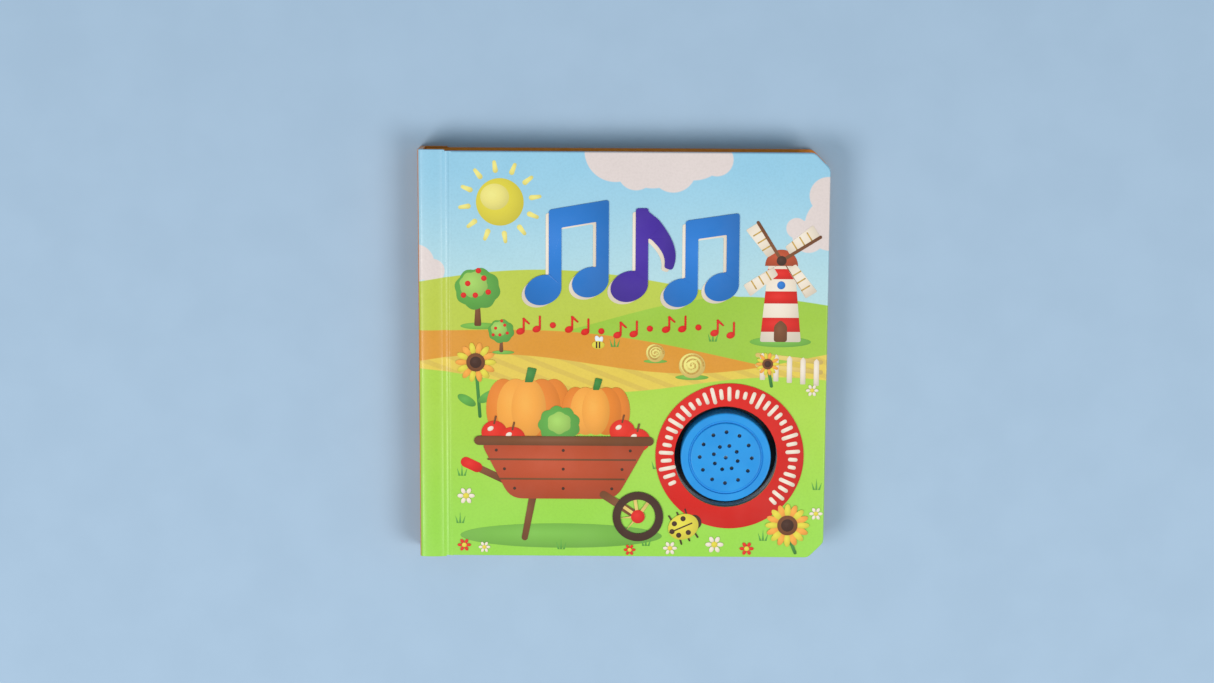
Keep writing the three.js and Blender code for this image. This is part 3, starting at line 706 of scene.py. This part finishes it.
# Wheelbarrow, flowers, insects and the ring round the window
def pumpkin(x, y, size, level):
    """Five overlapping lobes and a stem."""
    lobes = ((-0.62, 0.42, "orange"), (0.62, 0.42, "orange"), (-0.32, 0.46, "amber"),
             (0.32, 0.46, "orange"), (0, 0.42, "amber"))
    parts = []
    for k, (offset, width, colour) in enumerate(lobes):
        outline = ellipse(x + offset * size, y, width * size, size * 0.74)
        parts.append(layer([outline], colour, level + k * 0.8, 0.1, slope=1.6))
    stem = rounded([(x - size * 0.10, y + size * 0.66), (x + size * 0.10, y + size * 0.66),
                    (x + size * 0.2, y + size), (x - size * 0.02, y + size * 1.04)], 0.6)
    parts.append(layer([stem], "leaf_dark", level + 13))
    return parts


def sunflower(x, y, size, level, petals=14):
    """A flower head with two rows of petals."""
    back, front = [], []
    for i in range(petals):
        angle = 360 * i / petals
        petal = turned(ellipse(x + size * 0.72, y, size * 0.32, size * 0.15, count=18), angle, (x, y))
        (back if i % 2 else front).append(petal)
    return [
        layer(back, "amber", level),
        layer(front, "sun", level + 0.8),
        layer([ellipse(x, y, size * 0.48)], "bark", level + 1.6),
        layer([ellipse(x, y, size * 0.30)], "dark", level + 2.4),
    ]


def wheelbarrow():
    parts = [layer([ellipse(-30, -90, 50, 6.2)], "shade", 4)]
    wheel = (8, -80)
    parts += pumpkin(-46, -26, 20, 6)
    parts += pumpkin(-13, -27, 16, 17)
    parts.append(layer([scalloped(ellipse(-31, -34, 9.5, 8.5, count=9), 0.25)], "leaf", 28, 0.1))
    parts.append(layer([scalloped(ellipse(-31, -33, 5.5, 5, count=6), 0.25)], "leaf_light", 38))
    for k, (x, y) in enumerate(((-63, -38), (0, -37), (-54, -41), (7.5, -41.5))):
        parts.append(layer([ellipse(x, y, 6.2, 5.8)], "scarlet", 29 + k * 0.3, 0.08))
        parts.append(layer([ellipse(x - 1.8, y + 2, 1.6, 1.1, 30)], "cream", 38 + k * 0.3))
        parts.append(layer([bar(x, y + 4.6, x + 0.8, y + 8, 0.9)], "bark", 38 + k * 0.3))
    parts.append(layer([bar(-44, -70, -48, -91, 3.6, 3.0)], "bark", 26))
    tray = [(-70, -42), (13, -42), (-3, -71), (-55, -71)]
    parts.append(layer([rounded(tray, 6)], "rust", 30, 0.16))
    parts.append(layer([bar(-66, -51.4, 6.5, -51.4, 0.9), bar(-60, -61.2, 1, -61.2, 0.9)], "bark", 44))
    nails = [ellipse(x, y, 0.75) for y, reach in ((-46.8, 33), (-56.2, 29), (-66, 24))
             for x in (-29 - reach, -29, -29 + reach)]
    parts.append(layer(nails, "dark", 44.5))
    parts.append(layer([bar(-70.6, -42, 13.2, -42, 4.4)], "bark", 45, 0.1))
    parts.append(layer([bar(-75, -54, -58, -62, 3.6)], "bark", 7))
    parts.append(layer([bar(-77, -53, -71.5, -55.6, 5.2)], "red", 9))
    parts.append(layer([bar(-9, -69, *wheel, 3.8)], "bark", 45, 0.06))
    parts.append(layer([ellipse(*wheel, 12.5, count=56), ellipse(*wheel, 8.6, count=48)], "dark", 52))
    spokes = [turned(bar(*wheel, wheel[0] + 9, wheel[1], 1.6), 45 * k + 10, wheel) for k in range(8)]
    parts.append(layer(spokes[::2], "straw", 51))
    parts.append(layer(spokes[1::2], "straw", 51.4))
    parts.append(layer([ellipse(*wheel, 3.4)], "red", 53))
    join("embossed_wheelbarrow", parts)


def flowers():
    parts = []
    stems = []
    for k, (x, y, size, foot) in enumerate(((-72, -3, 9.6, -30), (71, -3, 5.5, -14))):
        stems.append(bar(x, y, x + 2, foot, 1.6))
        parts += sunflower(x, y, size, 20 + k)
    parts.append(layer(stems, "leaf_dark", 4.6))
    parts.append(layer([ellipse(-66, -20, 5.5, 2.3, 30), ellipse(-76.5, -22, 5, 2.2, 150)], "leaf", 5))
    join("printed_sunflowers", parts)


def daisy(x, y, size, colour, level):
    petals = [turned(ellipse(x + size * 0.62, y, size * 0.36, size * 0.24, count=14), 60 * k, (x, y))
              for k in range(6)]
    return [layer(petals[::2], colour, level), layer(petals[1::2], colour, level + 0.4),
            layer([ellipse(x, y, size * 0.34)], "sun", level + 1)]


def meadow_details():
    """Small flowers and tufts of grass along the meadow."""
    parts = []
    for x, y, size, colour in ((24, -96, 3.6, "cream"), (46, -94, 4.6, "cream"), (62, -96, 3.6, "scarlet"),
                               (96, -78, 3.4, "cream"), (-77, -70, 4.4, "cream"), (-78, -95, 3.4, "scarlet"),
                               (-68, -96, 3.0, "cream"), (4, -97, 3.0, "scarlet"), (93, -16, 3.2, "cream")):
        parts += daisy(x, y, size, colour, 28)
    blades = []
    for x, y in ((-79, -60), (-30, -97), (12, -95), (70, -92), (17, -56), (96, -66), (-80, -84), (-4, 5),
                 (44, 8)):
        for lean, tall in ((-2.4, 4.0), (0, 5.8), (2.6, 3.8)):
            blades.append([(x + lean * 0.5 - 0.55, y), (x + lean * 0.5 + 0.55, y), (x + lean, y + tall)])
    parts.append(layer(blades, "leaf", 4.5))
    join("printed_flowers_and_grass", parts)


def bee(name, x, y, size, level):
    stripes = []
    for k in (-0.25, 0.2):
        middle, half, tall = x + size * k, size * 0.12, size * 0.5
        stripes.append(rounded([(middle - half, y - tall), (middle + half, y - tall),
                                (middle + half, y + tall), (middle - half, y + tall)], 0.3))
    join(name, [
        layer([ellipse(x - size * 0.1, y + size * 0.85, size * 0.36, size * 0.62, 24)], "wing", level),
        layer([ellipse(x + size * 0.4, y + size * 0.8, size * 0.32, size * 0.55, -20)], "wing", level + 0.5),
        layer([ellipse(x, y, size, size * 0.62)], "sun", level + 1),
        layer(stripes, "dark", level + 2),
    ])


def ring():
    """Printed ring round the window, a little off its centre, with sound bars over its upper part."""
    cx, cy = RING_CENTRE
    hole = ellipse(*WINDOW, WINDOW_RADIUS, count=48)
    band = layer([ellipse(cx, cy, RING_RADIUS, count=120), hole], "red", 30)
    bars = []
    heights = (2.2, 4.4, 6.6, 3.6, 5.4, 2.8)
    middle = (RING_RADIUS + WINDOW_RADIUS) / 2 + 0.3
    for i in range(36):
        angle = math.radians(206 - i * 7.2)
        half = heights[i % len(heights)] / 2
        dx, dy = math.cos(angle), math.sin(angle)
        bars.append(bar(cx + dx * (middle - half), cy + dy * (middle - half),
                        cx + dx * (middle + half), cy + dy * (middle + half), 1.9))
    join("printed_ring", [band, layer(bars, "cream", 31)])


def ladybird():
    x, y, size = 30.5, -85, 7.6
    centre = (x, y)
    spots = [turned(ellipse(x + u * size, y + v * size, size * 0.17), 24, centre)
             for u, v in ((-0.45, 0.42), (0.2, 0.5), (-0.5, -0.4), (0.15, -0.48), (-0.8, 0.0))]
    feet = [turned(bar(x + u * size, y + side * size * 0.5, x + u * size * 1.15, y + side * size * 1.02, 0.8),
                   24, centre) for side in (-1, 1) for u in (-0.5, 0.0, 0.5)]
    join("printed_ladybird", [
        layer(feet, "dark", 33),
        layer([turned(ellipse(x + size * 0.82, y, size * 0.42, size * 0.48), 24, centre)], "dark", 34),
        layer([turned(ellipse(x, y, size, size * 0.82), 24, centre)], "sun", 35, 0.12),
        layer([turned(bar(x - size * 0.95, y, x + size * 0.6, y, 0.7), 24, centre)], "dark", 46),
        layer(spots, "dark", 47),
    ])


def corner_flower():
    join("printed_corner_flower", sunflower(82, -84, 10.5, 33, 16)
         + [layer([bar(84, -93, 86, -98, 1.5)], "leaf_dark", 32)])


# Pieces that replace or cover the frame's own
def smooth_copy(node, body, material):
    """The node's own shape with its faces joined and its round stretches shaded round."""
    deselect()
    source = frame["nodes"][node]
    piece = source.copy()
    piece.data = source.data.copy()
    piece.parent = None
    for key in list(piece.keys()):
        del piece[key]
    bpy.context.scene.collection.objects.link(piece)
    piece.name = node + "_finished"
    piece.data.name = piece.name
    piece.select_set(True)
    bpy.context.view_layer.objects.active = piece
    bpy.ops.object.mode_set(mode="EDIT")
    bpy.ops.mesh.select_all(action="SELECT")
    bpy.ops.mesh.remove_doubles(threshold=MERGE_DISTANCE)
    bpy.ops.mesh.dissolve_limited(angle_limit=math.radians(FLAT_ANGLE))
    bpy.ops.object.mode_set(mode="OBJECT")
    bpy.ops.object.shade_smooth_by_angle(angle=math.radians(SOLID_SMOOTH_ANGLE))
    weigh_normals(piece)
    piece.data.materials.clear()
    piece.data.materials.append(material)
    if body:
        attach(piece, body)
    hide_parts(node)
    return piece


def yielding_copy(node, material):
    """A finished copy of a part, with its place baked into its mesh."""
    piece = smooth_copy(node, None, material)
    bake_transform(piece)


def hinge_paper(material):
    """The stretch of the printed paper that dips into the groove.

    The section runs from the strip over the groove to the front board, as x and z."""
    section = ((-89.3, 21.46), (-88.6, 21.355), (-87.9, 21.262), (-87.3, 21.225),
               (-86.8, 21.222), (-86.3, 21.27), (-85.8, 21.40), (-85.3, 21.62),
               (-84.9, 21.81), (-84.4, 21.96), (-83.9, 22.008), (-83.4, 22.012))
    deselect()
    left, low = section[0]
    bpy.ops.mesh.primitive_plane_add(size=1)
    piece = bpy.context.object
    piece.name = "hinge_paper"
    piece.data.name = piece.name
    piece.scale = mm(section[1][0] - left, 2 * COVER_HALF_HEIGHT - HINGE_PAPER_MARGIN, 1)
    piece.location = mm((left + section[1][0]) / 2, 0, low)
    bpy.ops.object.transform_apply(location=True, rotation=True, scale=True)
    bpy.ops.object.mode_set(mode="EDIT")
    bpy.ops.mesh.select_mode(type="EDGE")
    bpy.ops.object.mode_set(mode="OBJECT")
    reach = section[1][0]
    for edge in piece.data.edges:
        ends = [piece.data.vertices[index].co for index in edge.vertices]
        edge.select = all(abs(end.x / MM - reach) < 0.01 for end in ends)
    for vertex in piece.data.vertices:
        vertex.select = abs(vertex.co.x / MM - reach) < 0.01
    for face in piece.data.polygons:
        face.select = False
    bpy.ops.object.mode_set(mode="EDIT")
    bpy.ops.transform.translate(value=mm(0, 0, section[1][1] - low))
    for (ax, az), (bx, bz) in zip(section[1:], section[2:]):
        bpy.ops.mesh.extrude_region_move(TRANSFORM_OT_translate={"value": mm(bx - ax, 0, bz - az)})
    bpy.ops.mesh.select_all(action="SELECT")
    bpy.ops.mesh.subdivide(number_cuts=1)
    bpy.ops.mesh.normals_make_consistent(inside=False)
    bpy.ops.object.mode_set(mode="OBJECT")
    modifier = piece.modifiers.new("thickness", "SOLIDIFY")
    modifier.thickness = INK_STEP * MM
    modifier.offset = 1 if piece.data.polygons[0].normal.z > 0 else -1
    bpy.ops.object.modifier_apply(modifier=modifier.name)
    bpy.ops.object.shade_smooth_by_angle(angle=math.radians(PAPER_SMOOTH_ANGLE))
    piece.data.materials.append(material)
    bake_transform(piece)


def groove_folds(material):
    """The wrap's paper turned down at the head and tail end of the groove, so the channel isn't open."""
    parts = []
    x, y, z = FOLD_MIDDLE
    for side in (-1, 1):
        deselect()
        bpy.ops.mesh.primitive_cube_add(size=1, location=mm(x, side * y, z))
        piece = bpy.context.object
        piece.scale = mm(*FOLD_SIZE)
        bpy.ops.object.transform_apply(location=True, rotation=True, scale=True)
        bpy.ops.object.mode_set(mode="EDIT")
        bpy.ops.mesh.bevel(offset=FOLD_EDGE * MM, segments=2)
        bpy.ops.object.mode_set(mode="OBJECT")
        piece.data.materials.append(material)
        parts.append(piece)
    join("groove_folds", parts, "root")


paints = {
    "orange_wrap": case_paper(),
    "printed_wrap": printed_paper(),
    "orange_lining": plain_paper("orange_lining_paper", ORANGE_PAPER, srgb(214, 124, 40)),
    "grey_board": grey_board(),
    "white_board": plain_paper("white_spacer_board", srgb(236, 232, 222), srgb(222, 216, 204)),
    "page_board": leaf_board(),
    "dark_plastic": moulded("dark_moulded_housing", srgb(38, 41, 46), srgb(30, 32, 37), 0.5),
    "blue_plastic": moulded("blue_moulded_button", srgb(30, 152, 228), srgb(26, 144, 222), 0.42, 0.02, 2600),
    "ivory_plastic": moulded("ivory_plunger", srgb(222, 218, 206), srgb(212, 207, 194), 0.45),
    "screw_steel": metal("zinc_screw", srgb(190, 192, 196), 0.32),
    "cell_steel": metal("nickel_cell", srgb(206, 208, 210), 0.28),
    "contact_brass": metal("brass_contact", srgb(206, 176, 92), 0.34),
    "green_laminate": moulded("circuit_laminate", srgb(46, 104, 62), srgb(38, 92, 54), 0.4, 0.006),
    "tan_laminate": moulded("phenolic_board", srgb(176, 134, 78), srgb(160, 118, 66), 0.6),
    "black_resin": moulded("black_resin", srgb(24, 24, 26), srgb(18, 18, 20), 0.4),
    "speaker_steel": metal("pressed_speaker_steel", srgb(158, 160, 164), 0.4),
    "speaker_film": moulded("speaker_film", srgb(214, 206, 182), srgb(200, 190, 164), 0.35, 0.004),
    "red_lead": moulded("red_lead_insulation", srgb(186, 48, 36), srgb(170, 40, 30), 0.5),
    "black_lead": moulded("black_lead_insulation", srgb(22, 22, 22), srgb(16, 16, 16), 0.5),
    "spring_steel": metal("drawn_spring_wire", srgb(176, 178, 182), 0.3),
}
for name, material_slot in slot_of.items():
    node = frame["nodes"][name]
    node.data.materials.clear()
    node.data.materials.append(paints[material_slot])

smooth_copy("case_wrap", "root", paints["orange_wrap"])
smooth_copy("front_wrap", "front_cover", paints["printed_wrap"])
smooth_copy("front_board", "front_cover", paints["grey_board"])
smooth_copy("pages", "root", paints["page_board"])
smooth_copy("button", "button", paints["blue_plastic"])
hinge_paper(paints["printed_wrap"])
groove_folds(paints["printed_wrap"])
yielding_copy("button_spring", paints["spring_steel"])
for colour in ("red", "black"):
    yielding_copy("speaker_lead_" + colour, paints[colour + "_lead"])

sun()
apple_tree("printed_apple_tree_large", -71, 15, 10.5, 3)
apple_tree("printed_apple_tree_small", -59.5, 2, 6.0, 9)
windmill()
big_notes()
small_row()
hay_bale("printed_hay_bale_near", 34, -4, 6.5, 6)
hay_bale("printed_hay_bale_far", 16, 2, 4.6, 5)
fence()
wheelbarrow()
flowers()
meadow_details()
bee("printed_bee", -12, 6, 3.2, 15)
ring()
ladybird()
corner_flower()


# Floor, light and camera
def studio():
    """A pale table under two square softboxes, with a cool even light from all round."""
    deselect()
    bpy.ops.mesh.primitive_plane_add(size=6)
    floor = bpy.context.object
    floor.name = "floor"
    finish = Finish("pale_blue_table", roughness=0.7)
    patches = finish.ramp(finish.noise(30, 4), 0.3, 0.7)
    finish.colour(finish.mix(patches, srgb(167, 193, 217), srgb(164, 190, 214)))
    floor.data.materials.append(finish.material)

    def lamp(name, place, watts, tint):
        """A square softbox that looks at the book."""
        data = bpy.data.lights.new(name, "AREA")
        data.shape = "RECTANGLE"
        data.size = data.size_y = LAMP_SIDE
        data.energy = watts
        data.color = tint
        made = bpy.data.objects.new(name, data)
        bpy.context.scene.collection.objects.link(made)
        made.location = place
        made.rotation_euler = (-Vector(place)).to_track_quat("-Z", "Y").to_euler()

    lamp("softbox_left", (-0.86, -0.43, 1.35), 13.4, (1.0, 0.93, 0.89))
    lamp("softbox_right", (0.86, -0.43, 1.35), 12.4, (1.0, 0.92, 0.86))
    world = bpy.data.worlds.new("studio")
    bpy.context.scene.world = world
    world.use_nodes = True
    sky = world.node_tree.nodes["Background"]
    sky.inputs["Color"].default_value = (0.72, 0.90, 1.0, 1.0)
    sky.inputs["Strength"].default_value = 0.40


def photo_camera():
    """The photograph's view: above the head of the book, tipped towards its tail."""
    data = bpy.data.cameras.new("camera")
    data.sensor_width = 36.0
    data.lens = 73.66
    data.clip_start, data.clip_end = 0.05, 20.0
    camera = bpy.data.objects.new("camera", data)
    bpy.context.scene.collection.objects.link(camera)
    camera.rotation_mode = "YXZ"
    camera.location = mm(1.4, 211.4, 1219.6)
    camera.rotation_euler = (math.radians(-9.65), math.radians(0.49), math.radians(0.36))
    bpy.context.scene.camera = camera


studio()
photo_camera()
bpy.context.scene.view_settings.view_transform = "Standard"
